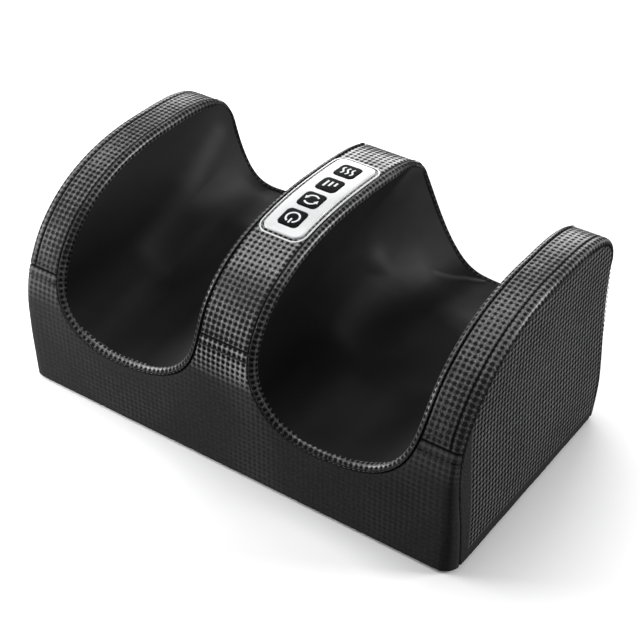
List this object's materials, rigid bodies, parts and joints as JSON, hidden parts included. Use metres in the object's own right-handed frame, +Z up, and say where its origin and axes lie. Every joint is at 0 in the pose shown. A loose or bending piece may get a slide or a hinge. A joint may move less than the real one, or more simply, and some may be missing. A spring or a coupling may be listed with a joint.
{
  "type": "roller foot massager",
  "caption": "Roller foot massager: leather-look housing with fabric-lined foot wells over hidden kneading rollers, and a push-button panel on the bridge between the wells.",
  "frame": {"origin": "on the floor under the middle of the housing", "axes": "+X along the width, -Y towards the low front of the housing where the feet go in, +Z up"},
  "size_m": [0.38, 0.216, 0.1769],
  "materials": {
    "cover_leather": "embossed basket weave, satin",
    "liner_fabric": "black stretch cloth",
    "housing_plastic": "moulded, matt",
    "bezel_plastic": "white, satin",
    "button_plastic": "black, satin",
    "shaft_steel": "ground",
    "bush_bronze": "sintered bronze",
    "gear_nylon": "natural nylon",
    "roller_plastic": "moulded, matt",
    "foot_rubber": "matt",
    "circuit_board": "solder mask",
    "heating_film": "polyimide film"
  },
  "bodies": {
    "housing": {"front_panel": "cover_leather", "back_panel": "cover_leather", "left_side_panel": "cover_leather", "right_side_panel": "cover_leather", "left_wing_band": "cover_leather", "right_wing_band": "cover_leather", "bridge_band": "cover_leather", "left_well_liner": "liner_fabric", "right_well_liner": "liner_fabric", "base_plate": "housing_plastic", "left_pod": "housing_plastic", "right_pod": "housing_plastic", "centre_pod": "housing_plastic", "left_front_sill": "housing_plastic", "right_front_sill": "housing_plastic", "left_rear_sill": "housing_plastic", "right_rear_sill": "housing_plastic", "gearbox_left_plate": "housing_plastic", "gearbox_right_plate": "housing_plastic", "motor_mount": "housing_plastic", "worm_bearing_block": "housing_plastic", "front_left_bearing": "housing_plastic", "front_right_bearing": "housing_plastic", "rear_left_bearing": "housing_plastic", "rear_right_bearing": "housing_plastic", "panel_bezel": "bezel_plastic", "power_inlet": "button_plastic", "drive_motor": "shaft_steel", "base_screw_left_front": "shaft_steel", "base_screw_left_rear": "shaft_steel", "base_screw_centre_front": "shaft_steel", "base_screw_centre_rear": "shaft_steel", "base_screw_right_front": "shaft_steel", "base_screw_right_rear": "shaft_steel", "front_left_bush": "bush_bronze", "front_right_bush": "bush_bronze", "rear_left_bush": "bush_bronze", "rear_right_bush": "bush_bronze", "foot_left_front": "foot_rubber", "foot_left_rear": "foot_rubber", "foot_right_front": "foot_rubber", "foot_right_rear": "foot_rubber", "button_board": "circuit_board", "control_board": "circuit_board", "left_heating_film": "heating_film", "right_heating_film": "heating_film"},
    "front_drive": {"front_roller_shaft": "shaft_steel", "front_worm_wheel": "gear_nylon", "front_left_roller": "roller_plastic", "front_right_roller": "roller_plastic"},
    "rear_drive": {"rear_roller_shaft": "shaft_steel", "rear_worm_wheel": "gear_nylon", "rear_left_roller": "roller_plastic", "rear_right_roller": "roller_plastic"},
    "motor_rotor": {"worm_shaft": "shaft_steel"},
    "power_key": {"power_button": "button_plastic"},
    "direction_key": {"direction_button": "button_plastic"},
    "speed_key": {"speed_button": "button_plastic"},
    "heat_key": {"heat_button": "button_plastic"}
  },
  "joints": [
    {"name": "front_roller_spin", "type": "hinge", "parent": "housing", "child": "front_drive", "pos_m": [0, -0.041, 0.043], "axis": [1, 0, 0], "continuous": true},
    {"name": "rear_roller_spin", "type": "hinge", "parent": "housing", "child": "rear_drive", "pos_m": [0, 0.044, 0.054], "axis": [1, 0, 0], "continuous": true},
    {"name": "motor_spin", "type": "hinge", "parent": "housing", "child": "motor_rotor", "pos_m": [0, -0.00184, 0.07429], "axis": [0, 0.9917, 0.1283], "continuous": true},
    {"name": "power_press", "type": "slide", "parent": "housing", "child": "power_key", "axis": [0, 0.1769, -0.9842], "range_m": [0, 0.001], "stiffness_N_per_m": 300, "springref_m": -0.002},
    {"name": "direction_press", "type": "slide", "parent": "housing", "child": "direction_key", "axis": [0, 0.0799, -0.9968], "range_m": [0, 0.001], "stiffness_N_per_m": 300, "springref_m": -0.002},
    {"name": "speed_press", "type": "slide", "parent": "housing", "child": "speed_key", "axis": [0, 0.0101, -0.9999], "range_m": [0, 0.001], "stiffness_N_per_m": 300, "springref_m": -0.002},
    {"name": "heat_press", "type": "slide", "parent": "housing", "child": "heat_key", "axis": [0, -0.0222, -0.9998], "range_m": [0, 0.001], "stiffness_N_per_m": 300, "springref_m": -0.002}
  ],
  "couplings": [
    {"joint": "rear_roller_spin", "follows": "front_roller_spin", "ratio": 1},
    {"joint": "motor_spin", "follows": "front_roller_spin", "ratio": 24}
  ]
}
